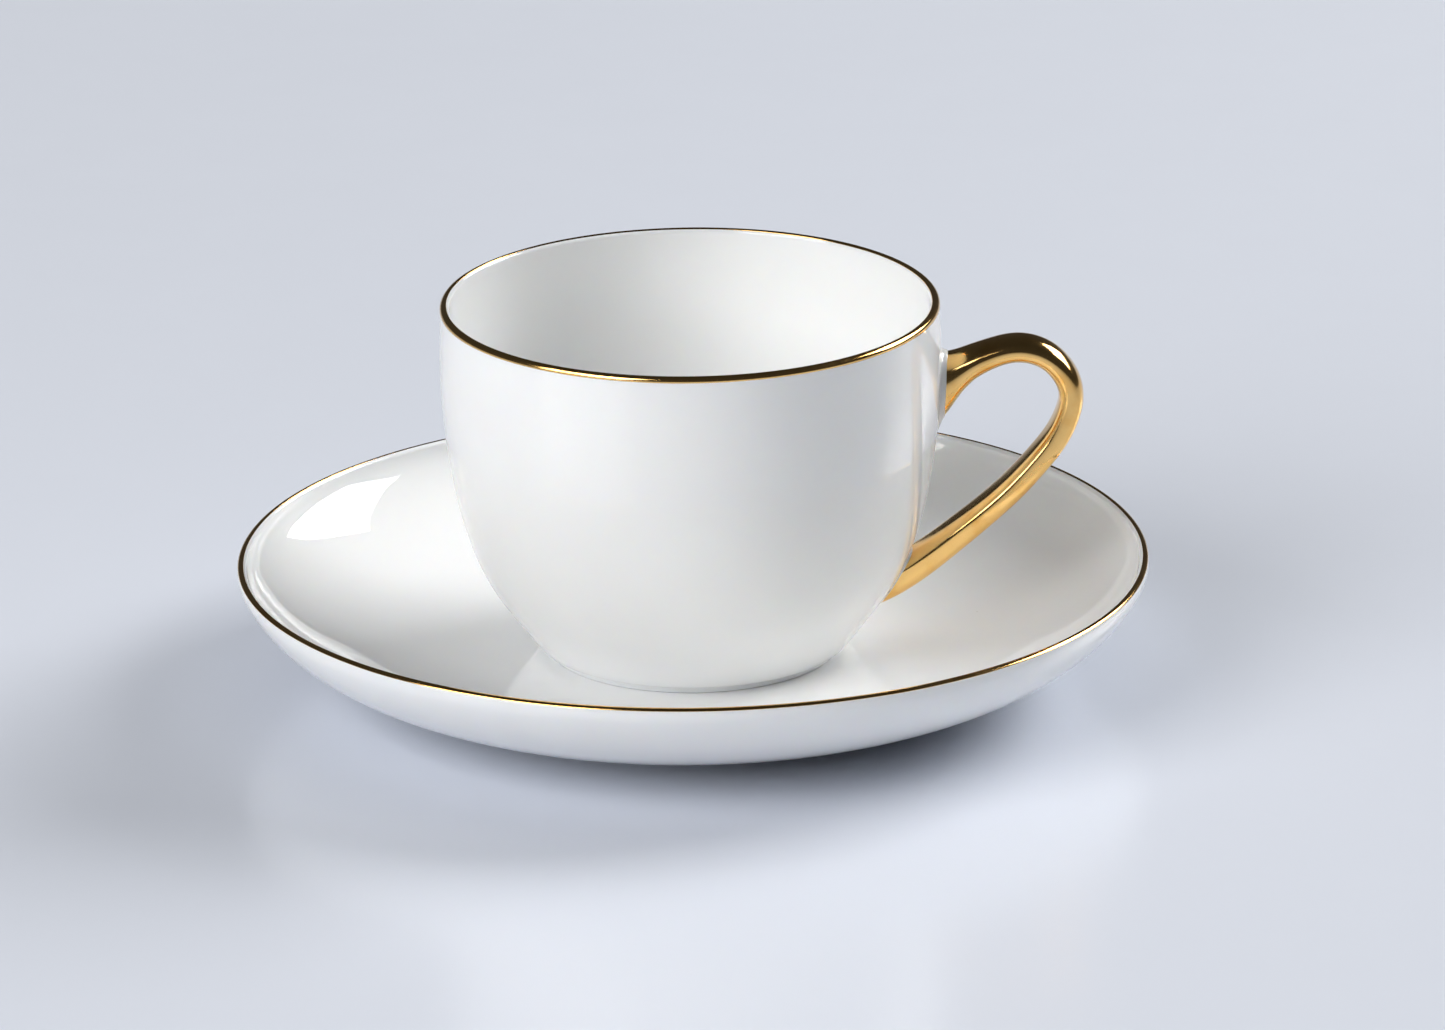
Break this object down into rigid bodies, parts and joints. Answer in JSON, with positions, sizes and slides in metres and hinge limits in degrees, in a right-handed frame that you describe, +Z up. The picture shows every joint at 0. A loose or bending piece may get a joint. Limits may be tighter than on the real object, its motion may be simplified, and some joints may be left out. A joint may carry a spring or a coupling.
{
  "type": "teacup and saucer",
  "caption": "White porcelain teacup with a gold lip band and a gilded loop handle, standing on its matching round saucer.",
  "frame": {"origin": "centre of the saucer's foot ring, on the surface that it stands on", "axes": "+Z up along the axis of the cup and the saucer, +X towards the cup's handle"},
  "size_m": [0.15, 0.15, 0.0649],
  "materials": {
    "cup_glaze": "clear gloss glaze on white bone china",
    "saucer_glaze": "clear gloss glaze on white bone china",
    "slip_glaze": "glazed white slip fillet",
    "handle_gilding": "burnished gold over glazed porcelain",
    "lip_gold": "burnished gold line over glazed porcelain",
    "saucer_rim_gold": "burnished gold line over glazed porcelain"
  },
  "bodies": {
    "saucer": {"saucer_body": "saucer_glaze", "saucer_rim_band": "saucer_rim_gold"},
    "cup": {"cup_bowl": "cup_glaze", "cup_rim_band": "lip_gold", "cup_handle": "handle_gilding", "upper_handle_joint": "slip_glaze", "lower_handle_joint": "slip_glaze"}
  },
  "joints": [
    {"name": "cup_lift", "type": "slide", "parent": "saucer", "child": "cup", "axis": [0, 0, 1], "range_m": [0, 0.12]}
  ]
}
